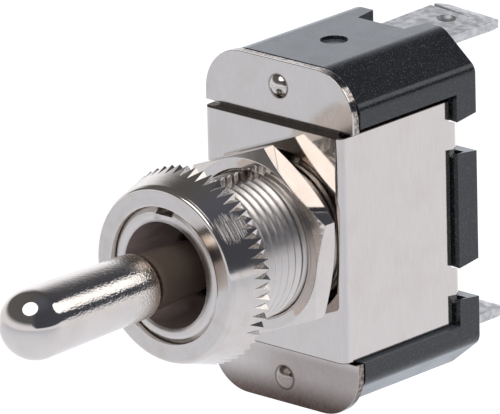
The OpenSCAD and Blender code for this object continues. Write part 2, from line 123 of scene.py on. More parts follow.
def add_node(tree, kind, inputs=None, **settings):
    """Adds a node to a tree, with its settings and its inputs."""
    node = tree.nodes.new(kind)
    for name, value in settings.items():
        setattr(node, name, value)
    fill(tree, node, inputs or {})
    return node


def maths(tree, operation, *values):
    """The result of an operation on values."""
    return add_node(tree, "ShaderNodeMath", dict(enumerate(values)), operation=operation).outputs[0]


def between(tree, value, low, high, start=0.35, end=0.65, blend="LINEAR"):
    """Spreads a value over a range of numbers. The usual start and end suit cloudy noise."""
    inputs = {"Value": value, "From Min": start, "From Max": end, "To Min": low, "To Max": high}
    return add_node(tree, "ShaderNodeMapRange", inputs, interpolation_type=blend).outputs["Result"]


def two_tones(tree, value, dark, light, middle=()):
    """Colours a value from 0 to 1 from a dark tone to a light one, past any tones between."""
    ramp = add_node(tree, "ShaderNodeValToRGB", {"Fac": value})
    elements = ramp.color_ramp.elements
    elements[0].color = (*dark, 1)
    elements[1].color = (*light, 1)
    for share, tone in middle:
        elements.new(share).color = (*tone, 1)
    return ramp.outputs["Color"]


def new_shader(name):
    """A material with its node tree and its Principled shader."""
    material = bpy.data.materials.new(name)
    material.use_nodes = True
    return material, material.node_tree, material.node_tree.nodes["Principled BSDF"]


def object_place(tree):
    """The place of a point on an object, in metres."""
    return add_node(tree, "ShaderNodeTexCoord").outputs["Object"]


def object_axes(tree):
    """The place of a point on an object as its X, Y and Z."""
    return add_node(tree, "ShaderNodeSeparateXYZ", {"Vector": object_place(tree)}).outputs


def seen_as_background(tree):
    """One where a ray comes from the camera, a glossy surface or a clear one, else zero."""
    path = add_node(tree, "ShaderNodeLightPath").outputs
    from_surface = maths(tree, "MAXIMUM", path["Is Glossy Ray"], path["Is Transmission Ray"])
    return maths(tree, "MAXIMUM", path["Is Camera Ray"], from_surface)


world = bpy.data.worlds.new("white_room")
bpy.context.scene.world = world
world.use_nodes = True
world.cycles.sampling_method = "NONE"
room_tree = world.node_tree
room_light = between(room_tree, seen_as_background(room_tree), light_on_matt, 1.0, 0, 1)
fill(room_tree, room_tree.nodes["Background"], {"Color": (1, 1, 1, 1), "Strength": room_light})

corners = [(-1, -1), (1, -1), (1, 1), (-1, 1)]
paper_corners = [(x * paper_reach, y * paper_reach, -table_drop) for x, y in corners]
floor = link_object("floor", mesh_from("floor", paper_corners, [(0, 1, 2, 3)]))


def white_paper():
    """Matt paper with a glow of its own, seen from above only."""
    material, tree, paper = new_shader("white_paper")
    fill(tree, paper, {"Base Color": (0.7, 0.7, 0.7, 1), "Roughness": 0.9, "Specular IOR Level": 0.0})
    axes = object_axes(tree)
    leaning = maths(tree, "MULTIPLY_ADD", axes["X"], paper_lean, axes["Y"])
    fade = between(tree, leaning, 0, 1, *paper_fade)
    tone = two_tones(tree, fade, front_glow, rear_glow, [(right_glow_place, right_glow)])
    glow = add_node(tree, "ShaderNodeEmission", {"Color": tone, "Strength": seen_as_background(tree)})
    both = add_node(tree, "ShaderNodeAddShader", {0: paper.outputs["BSDF"], 1: glow.outputs["Emission"]})
    clear = add_node(tree, "ShaderNodeBsdfTransparent")
    from_below = add_node(tree, "ShaderNodeNewGeometry").outputs["Backfacing"]
    sides = {"Fac": from_below, 1: both.outputs["Shader"], 2: clear.outputs["BSDF"]}
    one_sided = add_node(tree, "ShaderNodeMixShader", sides)
    fill(tree, tree.nodes["Material Output"], {"Surface": one_sided.outputs["Shader"]})
    return material


floor.data.materials.append(white_paper())

# Dark room.
# Above the white backdrop the room is dark, which bright metal shows as dark bands. It is a
# dome that only reflections see, and its backdrop reaches highest behind the object.
room_radius = 1.6
dome_lowest = math.radians(-4)
dome_highest = math.radians(90) - 0.01
dome_rows, dome_sides = 72, 96
row_bunching = 1.4
overhead = 0.13
overhead_start, overhead_end = 40, 75
backdrop_blue = 0.05
red_loss = 0.3
whole_turn = 2 * math.pi

# Each row says, for a bearing in degrees, the heights between which the backdrop fades out, how
# bright the backdrop is there, how dark the room is above it, and how blue that dark is.
room_bearings = [
    (-180, 5, 20, 1.0, 0.14, 0.0),
    (-60, 5, 20, 1.0, 0.13, 0.05),
    (-45, 1.5, 3.5, 1.0, 0.08, 0.25),
    (70, 1.5, 3.5, 1.0, 0.08, 0.25),
    (105, 14, 46, 1.25, 0.09, 0.1),
    (145, 14, 46, 1.25, 0.12, 0.0),
    (165, 5, 20, 1.1, 0.14, 0.0),
    (180, 5, 20, 1.0, 0.14, 0.0),
]


def eased(value, start, end):
    """Zero before start, one after end, and a smooth rise between them."""
    share = min(max((value - start) / (end - start), 0), 1)
    return share * share * (3 - 2 * share)


def room_colour(bearing, height):
    """Colour of the room in a direction given in degrees."""
    for low, high in zip(room_bearings, room_bearings[1:]):
        if low[0] <= bearing <= high[0]:
            share = (bearing - low[0]) / (high[0] - low[0])
            start, end, bright, dark, blue = (a + (b - a) * share for a, b in zip(low[1:], high[1:]))
    dark += (overhead - dark) * eased(height, overhead_start, overhead_end)
    night = eased(height, start, end)
    value = bright + (dark - bright) * night
    tint = backdrop_blue + (blue - backdrop_blue) * night
    return (value * (1 - red_loss * tint), value, value * (1 + tint), 1)


def rings_joined(rings, sides, closed=False):
    """Faces between rings of points, and from the last ring to the first where it is closed."""
    faces = []
    for i in range(rings if closed else rings - 1):
        near, far = i * sides, (i + 1) % rings * sides
        for j in range(sides):
            k = (j + 1) % sides
            faces.append((near + j, near + k, far + k, far + j))
    return faces


dome_points, dome_colours = [], []
for i in range(dome_rows + 1):
    height = dome_lowest + (dome_highest - dome_lowest) * (i / dome_rows) ** row_bunching
    ring, rise = room_radius * math.cos(height), room_radius * math.sin(height)
    for j in range(dome_sides):
        bearing = whole_turn * (j / dome_sides - 0.5)
        dome_points.append((ring * math.cos(bearing), ring * math.sin(bearing), rise))
        dome_colours += room_colour(math.degrees(bearing), math.degrees(height))
room_mesh = mesh_from("dark_room", dome_points, rings_joined(dome_rows + 1, dome_sides))
room_tints = room_mesh.attributes.new("room_colour", "FLOAT_COLOR", "POINT")
room_tints.data.foreach_set("color", dome_colours)
room = link_object("dark_room", room_mesh)


def dark_cloth():
    """Cloth that shines with the room's colours."""
    material, tree, plain_shader = new_shader("dark_cloth")
    tree.nodes.remove(plain_shader)
    shade = add_node(tree, "ShaderNodeAttribute", attribute_name="room_colour").outputs["Color"]
    shine = add_node(tree, "ShaderNodeEmission", {"Color": shade}).outputs["Emission"]
    fill(tree, tree.nodes["Material Output"], {"Surface": shine})
    return material


room.data.materials.append(dark_cloth())
room.visible_camera = False
room.visible_diffuse = False
room.visible_shadow = False
room.visible_transmission = False

# Lamps.
# Two round soft lamps hang in the dark: a wide one high in front of the object, and a smaller
# one behind it to the right. The camera doesn't see them.
lamp_distance = 1.0
lamps = {
    "lamp_front": {"towards": (0.08, -0.45, 0.89), "radius": 0.40, "watts": 3.9},
    "lamp_rear": {"towards": (0.484, 0.691, 0.537), "radius": 0.23, "watts": 0.86},
}
for lamp_name, lamp_set in lamps.items():
    lamp_data = bpy.data.lights.new(lamp_name, "AREA")
    lamp_data.shape = "DISK"
    lamp_data.size = 2 * lamp_set["radius"]
    lamp_data.energy = lamp_set["watts"]
    lamp = bpy.data.objects.new(lamp_name, lamp_data)
    away = Vector(lamp_set["towards"]).normalized()
    turned = away.to_track_quat("Z", "Y").to_matrix().to_4x4()
    lamp.matrix_world = Matrix.Translation(away * lamp_distance) @ turned
    lamp.visible_camera = False
    bpy.context.scene.collection.objects.link(lamp)

# Moulded base.
# A block of black phenolic with eight corners, pressed in a steel mould. Its rear flange stands
# proud of the bracket walls, and its powdery skin has a low sheen.
base_edge = 0.07 * MM
edge_angle = 38
nearly_flat = math.radians(0.8)
cad_gap = 0.002 * MM


def millimetre_place(tree, stretch=(1, 1, 1), place=None):
    """A place in millimetres, with a stretch that draws a grain out along an axis."""
    inputs = {"Vector": place or object_place(tree), "Scale": tuple(s / MM for s in stretch)}
    return add_node(tree, "ShaderNodeMapping", inputs).outputs["Vector"]


def speckle(tree, place, per_mm, detail):
    """Cloudy noise with about that many spots in a millimetre."""
    inputs = {"Vector": place, "Scale": per_mm, "Detail": detail}
    return add_node(tree, "ShaderNodeTexNoise", inputs).outputs["Fac"]


def relief(tree, value, depth):
    """A normal with a fine bump of that depth in metres."""
    inputs = {"Strength": 1.0, "Distance": depth, "Height": value}
    return add_node(tree, "ShaderNodeBump", inputs).outputs["Normal"]


def merged_shape(meshes, gap):
    """A shape of one or more meshes, with points closer than a gap joined."""
    shape = bmesh.new()
    for mesh in meshes:
        shape.from_mesh(mesh)
    bmesh.ops.remove_doubles(shape, verts=shape.verts, dist=gap)
    return shape


def merged_copy(node, flat=True):
    """A copy of a CAD node's mesh with its loose triangles joined, and flat faces made whole."""
    shape = merged_shape([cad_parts[node].data], cad_gap)
    if flat:
        bmesh.ops.dissolve_limit(shape, angle_limit=nearly_flat, verts=shape.verts, edges=shape.edges)
    return shape


def mesh_of(name, shape):
    """Writes a shape to a new mesh and frees it."""
    mesh = bpy.data.meshes.new(name)
    shape.to_mesh(mesh)
    shape.free()
    return mesh


def smooth_by_angle(mesh, degrees):
    """Shades a mesh smooth, with sharp edges kept where faces meet at more than an angle."""
    mesh.shade_smooth()
    mesh.set_sharp_from_angle(angle=math.radians(degrees))


def add_rounding(obj, edge, degrees):
    """Adds a modifier that rounds the edges where faces meet at more than an angle."""
    rounding = obj.modifiers.new("rounding", "BEVEL")
    rounding.width = edge
    rounding.segments = 2
    rounding.limit_method = "ANGLE"
    rounding.angle_limit = math.radians(degrees)
    rounding.harden_normals = True


def finished(obj):
    """Turns an object with modifiers into a plain mesh and drops the modifiers."""
    bpy.context.view_layer.update()
    evaluated = obj.evaluated_get(bpy.context.evaluated_depsgraph_get())
    baked = bpy.data.meshes.new_from_object(evaluated)
    obj.modifiers.clear()
    obj.data = baked
    return obj


def softened(shape, name, edge):
    """Makes an object of a shape and rounds its edges a little."""
    obj = link_object(name, mesh_of(name, shape))
    smooth_by_angle(obj.data, edge_angle)
    add_rounding(obj, edge, edge_angle)
    weighting = obj.modifiers.new("weighting", "WEIGHTED_NORMAL")
    weighting.keep_sharp = True
    return finished(obj)


def phenolic():
    """Black phenolic with fine pale specks in its skin and a bluish haze at a low angle."""
    material, tree, shader = new_shader("black_phenolic")
    powder = speckle(tree, millimetre_place(tree), 7.0, 4.0)
    cloud = speckle(tree, millimetre_place(tree), 0.5, 2.0)
    specks = between(tree, powder, 0, 1, 0.55, 0.76)
    skin = {
        "Base Color": two_tones(tree, specks, (0.0035, 0.004, 0.0055), (0.085, 0.09, 0.108)),
        "Roughness": between(tree, cloud, 0.2, 0.27),
        "IOR": 1.5,
        "Sheen Weight": 1.0,
        "Sheen Roughness": 0.33,
        "Sheen Tint": (0.8, 0.89, 1.0, 1),
        "Normal": relief(tree, powder, 0.005 * MM),
    }
    fill(tree, shader, skin)
    return material


base = softened(merged_copy("base"), "moulded_base", base_edge)
base.data.materials.append(phenolic())
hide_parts("base")
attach(base, "body")

# Insulating sheet.
# A thin punched sheet of brown fibre between the base and the cover plate, held by the stake
# of the bushing. Only its edge can be seen.


def fibre():
    """Brown vulcanised fibre with a paper grain."""
    material, tree, shader = new_shader("brown_fibre")
    grain = speckle(tree, millimetre_place(tree, (1, 1, 0.2)), 5.0, 5.0)
    colour = two_tones(tree, between(tree, grain, 0, 1), (0.13, 0.07, 0.04), (0.24, 0.14, 0.08))
    paper = {"Base Color": colour, "Roughness": 0.8, "Normal": relief(tree, grain, 0.01 * MM)}
    fill(tree, shader, paper)
    return material


def paint_node(node, material):
    """Gives a CAD node a material."""
    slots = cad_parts[node].data.materials
    slots.clear()
    slots.append(material)


paint_node("insulator", fibre())

# Cover plate.
# Bright nickel-plated steel, punched with round ends and two pressed domes, and held down by the
# bracket. Its sheared edge is dark at the rear. Painted shade darkens its lower end towards brown and rings
# the foot of each dome.
plate_edge = 0.08 * MM
plate_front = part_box("cover_plate")[1].y - 0.8 * MM
nickel_tone = (0.645, 0.6, 0.565)
dull_brown = (0.82, 0.76, 0.7)
dome_height = 12.2 * MM
dome_foot_r = 0.98 * MM
dome_foot_shade_width = 0.13 * MM


def along_axis(tree, axis, start, end):
    """Zero to one along an axis between two places in metres, with soft ends."""
    value = object_axes(tree)[axis]
    if start < end:
        return between(tree, value, 0, 1, start, end, "SMOOTHSTEP")
    return between(tree, value, 1, 0, end, start, "SMOOTHSTEP")


def distance_from(tree, place, point):
    """Distance of a place from a point."""
    ends = {0: place, 1: point}
    return add_node(tree, "ShaderNodeVectorMath", ends, operation="DISTANCE").outputs["Value"]


def stained_or_shaded(tree, colour, amount, darker_tone):
    """Multiplies a colour by a darker tone, for a stain or for painted shade, as far as an amount from 0 to
    1 says.
    """
    inputs = {"Factor": amount, 6: colour, 7: (*darker_tone, 1)}
    return add_node(tree, "ShaderNodeMix", inputs, data_type="RGBA", blend_type="MULTIPLY").outputs[2]


def shaded(tone, share):
    """A tone made lighter or darker."""
    return tuple(share * part for part in tone)


def nickel(name, tone, grain, gloss, depth, per_mm=4.0, dark_bands=()):
    """Nickel plate with a grain drawn out along an axis, dull brown patches, and any dark bands it is given
    along its axes, such as painted shade.
    """
    material, tree, shader = new_shader(name)
    grain_noise = speckle(tree, millimetre_place(tree, grain), per_mm, 4.0)
    patches = between(tree, speckle(tree, millimetre_place(tree), 0.35, 3.0), 0, 0.25, 0.45, 0.75)
    colour = two_tones(tree, between(tree, grain_noise, 0, 1), shaded(tone, 0.975), shaded(tone, 1.02))
    colour = stained_or_shaded(tree, colour, patches, dull_brown)
    for ramps, darker_tone, evenness in dark_bands:
        amount = between(tree, speckle(tree, millimetre_place(tree), 4.0, 4.0), evenness, 1.0)
        for ramp in ramps:
            amount = maths(tree, "MULTIPLY", amount, along_axis(tree, *ramp))
        colour = stained_or_shaded(tree, colour, amount, darker_tone)
    plating = {
        "Metallic": 1.0,
        "Base Color": colour,
        "Roughness": between(tree, grain_noise, *gloss),
        "Normal": relief(tree, grain_noise, depth),
    }
    fill(tree, shader, plating)
    return material


def dome_foot_shade(material):
    """Adds a line of painted shade round the foot of each dome to a material."""
    tree = material.node_tree
    shader = tree.nodes["Principled BSDF"]
    level_place = {"Vector": object_place(tree), "Scale": (1, 0, 1)}
    on_plate = add_node(tree, "ShaderNodeMapping", level_place).outputs["Vector"]
    upper = add_node(tree, "ShaderNodeVectorMath", {0: on_plate}, operation="ABSOLUTE").outputs["Vector"]
    reach = distance_from(tree, upper, (0, 0, dome_height))
    off_foot = maths(tree, "ABSOLUTE", maths(tree, "SUBTRACT", reach, dome_foot_r))
    line = between(tree, off_foot, 0.85, 0, 0, dome_foot_shade_width)
    unshaded_colour = shader.inputs["Base Color"].links[0].from_socket
    fill(tree, shader, {"Base Color": stained_or_shaded(tree, unshaded_colour, line, (0.2, 0.16, 0.14))})


# Each dark band has the ramps that bound it, its colour and how even it is.
plate_dark_bands = [
    ([("Y", plate_front + 0.12 * MM, plate_front + 0.2 * MM)], (0.22, 0.19, 0.18), 0.25),
    # Painted shade: the lower end darkened towards the right, then to brown at the bottom, as a shadowed
    # table below would show in its reflection.
    ([("Z", -9.2 * MM, -10.4 * MM), ("X", -6.5 * MM, 1.5 * MM)], (0.62, 0.58, 0.57), 0.93),
    ([("Z", -11.4 * MM, -14.3 * MM)], (0.18, 0.13, 0.11), 0.93),
]
plate_nickel = nickel(
    "plate_nickel", nickel_tone, (1.0, 1.0, 0.4), (0.1, 0.15), 0.0006 * MM, dark_bands=plate_dark_bands
)
# Painted shade: a dark line round the foot of each dome, where it rises from the plate.
dome_foot_shade(plate_nickel)
plate = softened(merged_copy("cover_plate"), "cover_plate_sheet", plate_edge)
plate.data.materials.append(plate_nickel)
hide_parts("cover_plate")
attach(plate, "body")

# Bracket.
# Bright nickel-plated steel, folded to a U that wraps the base, with four tabs bent over the rear
# flange. The sheet's faint grain runs up the walls, and its sheared ends above and below are darkened with
# painted shade.
bracket_edge = 0.06 * MM
bracket_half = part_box("bracket")[1].z
bracket_end_shade = []
# Painted shade: a dark band along each sheared end of the bracket, top and bottom.
for side in (1, -1):
    sheared_end = ("Z", side * (bracket_half - 0.11 * MM), side * (bracket_half - 0.05 * MM))
    bracket_end_shade.append(([sheared_end], (0.16, 0.13, 0.12), 0.92))
wall_nickel = nickel(
    "wall_nickel", nickel_tone, (2.0, 2.0, 0.2), (0.06, 0.1), 0.0005 * MM, per_mm=3.0, dark_bands=bracket_end_shade
)
bracket = softened(merged_copy("bracket"), "folded_bracket", bracket_edge)
bracket.data.materials.append(wall_nickel)
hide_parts("bracket")
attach(bracket, "body")

# Bushing.
# Nickel-plated brass, turned, with a 32-turn-per-inch thread rolled on it and a keyway milled
# along the top. Its rear end is staked over the cover plate.
thread_pitch = 0.794 * MM
crest_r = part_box("bushing")[1].x
root_r = crest_r - 0.22 * MM
bushing_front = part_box("bushing")[0].y
face_r = 5.18 * MM
front_cone = 0.6 * MM
run_out_r = 5.4 * MM
run_out_slope = 8
keyway_half = 0.875 * MM
keyway_floor = 4.95 * MM
bore_wall_r = 4.45 * MM
round_sides = 132
bushing_angle = 40
drawn_gap = 0.001 * MM
on_rim = 0.005 * MM

# Each step of the thread's form is a share of the pitch and a share of the depth.
thread_steps = [
    (0.0, 0.9),
    (0.05, 1.0),
    (0.14, 1.0),
    (0.2, 0.9),
    (0.34, 0.5),
    (0.48, 0.1),
    (0.54, 0.0),
    (0.62, 0.0),
    (0.68, 0.1),
    (0.86, 0.5),
]


def round_point(turn, y, radius):
    """A point at an angle round the Y axis."""
    return (radius * math.sin(turn), y, radius * math.cos(turn))


def thread_radius(share, y):
    """Radius of the thread form at a share of its depth, cut by both end cones."""
    cone_front = face_r + (y - bushing_front) / front_cone * (crest_r - face_r)
    cone_rear = run_out_r - run_out_slope * y
    return min(root_r + share * (crest_r - root_r), cone_front, cone_rear)


def thread_point(kind, turn, share, y):
    """A point on the bushing's outside, where kind tells the round from the keyway."""
    radius = thread_radius(share, y)
    if kind == "round":
        return round_point(turn, y, radius)
    side = math.copysign(keyway_half, math.pi - turn)
    if kind == "wall":
        return (side, y, math.sqrt(radius * radius - side * side))
    if kind == "floor":
        return (side, y, keyway_floor)
    return (0, y, keyway_floor)


keyway_turn = math.asin(keyway_half / crest_r)
columns = [("middle", 0.0), ("floor", keyway_turn), ("wall", keyway_turn)]
for i in range(1, round_sides):
    columns.append(("round", keyway_turn + (whole_turn - 2 * keyway_turn) * i / round_sides))
columns += [("wall", whole_turn - keyway_turn), ("floor", whole_turn - keyway_turn)]
thread_turns = math.ceil(-bushing_front / thread_pitch) + 2
thread_rows = []
for k in range(-1, thread_turns):
    thread_rows += [(bushing_front + (k + phase) * thread_pitch, share) for phase, share in thread_steps]
thread_points = []
for kind, turn in columns:
    for start_y, share in thread_rows:
        y = start_y - thread_pitch * turn / whole_turn
        thread_points.append(thread_point(kind, turn, share, min(max(y, bushing_front), 0)))
row_count = len(thread_rows)

# The thread moves by one pitch in a whole turn, so the last column meets the first one a pitch on.
thread_faces = []
for c in range(len(columns)):
    last = c == len(columns) - 1
    drop = len(thread_steps) if last else 0
    a, b = c * row_count, (0 if last else (c + 1) * row_count)
    for r in range(drop, row_count - 1):
        thread_faces.append((a + r, b + r - drop, b + r + 1 - drop, a + r + 1))

shell = merged_copy("bushing", flat=False)
outside = []
for face in shell.faces:
    centre = face.calc_center_median()
    in_bore = math.hypot(centre.x, centre.z) < bore_wall_r
    face.material_index = 1 if in_bore else 0
    if centre.y < 2 * on_rim and not in_bore:
        outside.append(face)
bmesh.ops.delete(shell, geom=outside, context="FACES")
rolled = merged_shape([mesh_from("loose_thread", thread_points, thread_faces)], drawn_gap)
shell.from_mesh(mesh_of("rolled_thread", rolled))


def rim_at(shape, y):
    """The open edges of a shape that lie at a place along Y."""
    open_edges = [edge for edge in shape.edges if edge.is_boundary]
    return [edge for edge in open_edges if all(abs(v.co.y - y) < on_rim for v in edge.verts)]


for rim_y in (bushing_front, 0.0):
    bmesh.ops.triangle_fill(shell, edges=rim_at(shell, rim_y), use_beauty=True)
bmesh.ops.recalc_face_normals(shell, faces=shell.faces)
bushing = link_object("threaded_bushing", mesh_of("threaded_bushing", shell))
smooth_by_angle(bushing.data, bushing_angle)


def shaded_tarnished_bore():
    """Brown tarnished metal inside the bushing, which the light hardly reaches, darkened further with
    painted shade.
    """
    material, tree, shader = new_shader("shaded_tarnished_bore")
    grain = speckle(tree, millimetre_place(tree, (1, 0.3, 1)), 1.2, 4.0)
    colour = two_tones(tree, between(tree, grain, 0, 1), (0.17, 0.125, 0.115), (0.22, 0.165, 0.15))
    normal = relief(tree, grain, 0.002 * MM)
    tarnish = {"Metallic": 0.45, "Base Color": colour, "Roughness": 0.5, "Normal": normal}
    fill(tree, shader, tarnish)
    return material


thread_tone = (0.68, 0.64, 0.61)
thread_nickel = nickel("thread_nickel", thread_tone, (0.6, 2.0, 0.6), (0.3, 0.42), 0.003 * MM, per_mm=5.0)
bushing.data.materials.append(thread_nickel)
# The faces inside the bore take brown tarnish darkened further with painted shade.
bushing.data.materials.append(shaded_tarnished_bore())
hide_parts("bushing")
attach(bushing, "body")

# Ring nut.
# Nickel-plated brass, turned to a flat face, a narrow bevel and a long cone. Sixty vee grooves
# are cut from its rear edge. One groove is drawn, and Geometry Nodes repeat it round the nut.
ring_low, ring_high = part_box("ring_nut")
grip_grooves = 60
rim_r = ring_high.x
ring_front, ring_back = ring_low.y, ring_high.y
ring_hole_r = 5.62 * MM
ring_bore_r = 5.998 * MM
ring_lip = 0.45 * MM
ring_face_r = 6.93 * MM
bevel_r = 7.285 * MM
bevel_back = ring_front + 0.42 * MM
groove_start = ring_front + 2.1 * MM
groove_share = 0.95
groove_steps = 4
half_sector = math.pi / grip_grooves
ring_angle = 30

# Each point of a rounding is so many millimetres behind the nut's face, and so many outside the
# radius of the hole or of the face.
hole_rounding = [(0.1, 0.0), (0.03, 0.03), (0.0, 0.1), (0.0, 0.17)]
face_rounding = [(0.0, -0.05), (0.0, 0.0), (0.015, 0.07), (0.05, 0.145), (0.095, 0.195)]
face_rounding += [(0.15, 0.23), (0.19, 0.248)]


def cone_radius(y):
    """Radius of the nut's cone at a place along Y."""
    return bevel_r + (rim_r - bevel_r) * (y - bevel_back) / (ring_back - bevel_back)


ring_section = [(ring_back, ring_bore_r), (ring_front + ring_lip, ring_bore_r)]
ring_section.append((ring_front + ring_lip, ring_hole_r))
for rounding, start_r in ((hole_rounding, ring_hole_r), (face_rounding, ring_face_r)):
    ring_section += [(ring_front + depth * MM, start_r + rise * MM) for depth, rise in rounding]
ring_section += [(bevel_back - 0.04 * MM, bevel_r - 0.018 * MM), (bevel_back, bevel_r)]
for y in (bevel_back + 0.06 * MM, bevel_back + 0.9 * MM):
    ring_section.append((y, cone_radius(y)))


def half_groove(side):
    """Points and faces of the nut from a groove's middle to the ridge beside it."""
    points, faces = [], []
    for y, radius in ring_section:
        points += [round_point(0, y, radius), round_point(side * half_sector, y, radius)]
    for row in range(len(ring_section) - 1):
        a = 2 * row
        faces.append((a, a + 1, a + 3, a + 2))
    front_row = 2 * (len(ring_section) - 1)
    first = len(points)
    for i in range(groove_steps + 1):
        share = i / groove_steps
        y = groove_start + (ring_back - groove_start) * share
        points.append(round_point(0, y, cone_radius(groove_start)))
        points.append(round_point(side * half_sector * groove_share * share, y, cone_radius(y)))
        points.append(round_point(side * half_sector, y, cone_radius(y)))
    faces.append((front_row, front_row + 1, first + 2, first))
    for i in range(groove_steps):
        a = first + 3 * i
        faces += [(a, a + 1, a + 4, a + 3), (a + 1, a + 2, a + 5, a + 4)]
    last = first + 3 * groove_steps
    faces.append((last, last + 1, last + 2, 1, 0))
    return points, faces


def geometry_tree(name, inputs):
    """An empty Geometry Nodes tree with named inputs, and the outputs of its input node."""
    tree = bpy.data.node_groups.new(name, "GeometryNodeTree")
    for socket_name, kind in inputs.items():
        tree.interface.new_socket(socket_name, in_out="INPUT", socket_type=kind)
    tree.interface.new_socket("Geometry", in_out="OUTPUT", socket_type="NodeSocketGeometry")
    return tree, add_node(tree, "NodeGroupInput").outputs


def run_tree(obj, tree, geometry, material, sizes):
    """Ends a tree with a material, runs it on an object and keeps the plain mesh."""
    painted = add_node(tree, "GeometryNodeSetMaterial", {"Geometry": geometry, "Material": material})
    add_node(tree, "NodeGroupOutput", {"Geometry": painted.outputs["Geometry"]})
    modifier = obj.modifiers.new(tree.name, "NODES")
    modifier.node_group = tree
    for item in tree.interface.items_tree:
        if item.in_out == "INPUT" and item.name in sizes:
            modifier[item.identifier] = sizes[item.name]
    return finished(obj)


def repeat_round(obj, copies, material):
    """Repeats an object's mesh round the Y axis with Geometry Nodes, and joins the copies."""
    inputs = {"Geometry": "NodeSocketGeometry", "grip grooves": "NodeSocketInt"}
    tree, given = geometry_tree("repeat_round", inputs)
    line = add_node(tree, "GeometryNodeMeshLine", {"Count": given["grip grooves"], "Offset": (0, 0, 0)})
    step = maths(tree, "DIVIDE", whole_turn, given["grip grooves"])
    turn = maths(tree, "MULTIPLY", add_node(tree, "GeometryNodeInputIndex").outputs["Index"], step)
    placing = {
        "Points": line.outputs["Mesh"],
        "Instance": given["Geometry"],
        "Rotation": add_node(tree, "ShaderNodeCombineXYZ", {"Y": turn}).outputs["Vector"],
    }
    placed = add_node(tree, "GeometryNodeInstanceOnPoints", placing).outputs["Instances"]
    whole = add_node(tree, "GeometryNodeRealizeInstances", {"Geometry": placed}).outputs["Geometry"]
    joining = {"Geometry": whole, "Distance": 2 * drawn_gap}
    joined = add_node(tree, "GeometryNodeMergeByDistance", joining).outputs["Geometry"]
    return run_tree(obj, tree, joined, material, {"grip grooves": copies})


def turned_nickel(name, tone, gloss, depth, cone_reach, scuff_place):
    """Nickel plate with turning marks round the Y axis, deep on the cone and deepest at a scuff."""
    material, tree, shader = new_shader(name)
    axes = object_axes(tree)
    flat = add_node(tree, "ShaderNodeCombineXYZ", {"X": axes["X"], "Y": axes["Z"]}).outputs["Vector"]
    radius = add_node(tree, "ShaderNodeVectorMath", {0: flat}, operation="LENGTH").outputs["Value"]
    along = add_node(tree, "ShaderNodeCombineXYZ", {"X": radius, "Y": axes["Y"]}).outputs["Vector"]
    marks = speckle(tree, millimetre_place(tree, place=along), 16.0, 2.0)
    cloud = speckle(tree, millimetre_place(tree), 0.9, 4.0)
    colour = two_tones(tree, between(tree, marks, 0, 1), shaded(tone, 0.95), shaded(tone, 1.03))
    on_cone = between(tree, along_axis(tree, "Y", *cone_reach), 0.14, 0.3, 0, 1)
    off_scuff = distance_from(tree, object_place(tree), scuff_place)
    scuff = between(tree, off_scuff, 1.7, 0, 0.7 * MM, 1.6 * MM)
    cut_depth = maths(tree, "MULTIPLY", marks, maths(tree, "ADD", on_cone, scuff))
    plating = {
        "Metallic": 1.0,
        "Base Color": stained_or_shaded(tree, colour, between(tree, cloud, 0, 0.4, 0.45, 0.7), (0.86, 0.8, 0.74)),
        "Roughness": between(tree, cloud, *gloss),
        "Normal": relief(tree, cut_depth, depth),
    }
    fill(tree, shader, plating)
    return material


ring_cone = (ring_front + 0.1 * MM, bevel_back)
ring_scuff = round_point(math.radians(51), -11.5 * MM, 7.6 * MM)
ring_nickel = turned_nickel("ring_nickel", nickel_tone, (0.1, 0.16), 0.03 * MM, ring_cone, ring_scuff)
groove_halves = [mesh_from("half_groove", *half_groove(side)) for side in (-1, 1)]
groove_mesh = mesh_of("ring_nut_groove", merged_shape(groove_halves, drawn_gap))
ring_nut = repeat_round(link_object("ring_nut_turned", groove_mesh), grip_grooves, ring_nickel)
ring_shape = bmesh.new()
ring_shape.from_mesh(ring_nut.data)
bmesh.ops.recalc_face_normals(ring_shape, faces=ring_shape.faces)
ring_shape.to_mesh(ring_nut.data)
ring_shape.free()
smooth_by_angle(ring_nut.data, ring_angle)
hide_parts("ring_nut")
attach(ring_nut, "ring_nut")

# Hexagon nut.
# Nickel-plated brass bar, cut off and chamfered on both faces, so that each flat ends in a
# curve. It sets how far the switch stands out of the panel.
hex_low, hex_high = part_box("hex_nut")
hex_front, hex_back = hex_low.y, hex_high.y
hex_flat_r = 14.29 * MM / 2
hex_turn = math.radians(21)
hex_bore_r = 5.998 * MM
hex_countersink = 0.2 * MM
hex_face_r = hex_flat_r - 0.1 * MM
hex_chamfer = 0.55 * MM
hex_corner_r = hex_flat_r / math.cos(math.radians(30)) + 0.1 * MM
hex_edge, hex_angle = 0.05 * MM, 20
hex_sides = 144


def hex_radius(turn):
    """Distance from the axis to the hexagon's side in a direction."""
    return hex_flat_r / math.cos((turn - hex_turn) % math.radians(60) - math.radians(30))


def hex_section(turn):
    """Section of the nut in a direction, from the front of the bore round to its rear."""
    reach_r = hex_radius(turn)
    drop = hex_chamfer * (reach_r - hex_face_r) / (hex_corner_r - hex_face_r)
    return [
        (hex_front + hex_countersink, hex_bore_r),
        (hex_front, hex_bore_r + hex_countersink),
        (hex_front, hex_face_r),
        (hex_front + drop, reach_r),
        (hex_back - drop, reach_r),
        (hex_back, hex_face_r),
        (hex_back, hex_bore_r + hex_countersink),
        (hex_back - hex_countersink, hex_bore_r),
    ]


hex_points = []
for i in range(hex_sides):
    turn = hex_turn + whole_turn * i / hex_sides
    hex_points += [(radius * math.cos(turn), y, radius * math.sin(turn)) for y, radius in hex_section(turn)]
hex_faces = rings_joined(hex_sides, len(hex_section(0)), closed=True)
hex_nut = link_object("hexagon_nut", mesh_from("hexagon_nut", hex_points, hex_faces))
smooth_by_angle(hex_nut.data, hex_angle)
add_rounding(hex_nut, hex_edge, hex_angle)
finished(hex_nut)
hex_nickel = nickel("hex_nickel", nickel_tone, (1.0, 1.0, 1.0), (0.05, 0.1), 0.001 * MM, per_mm=2.0)
hex_nut.data.materials.append(hex_nickel)
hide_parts("hex_nut")
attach(hex_nut, "hex_nut")

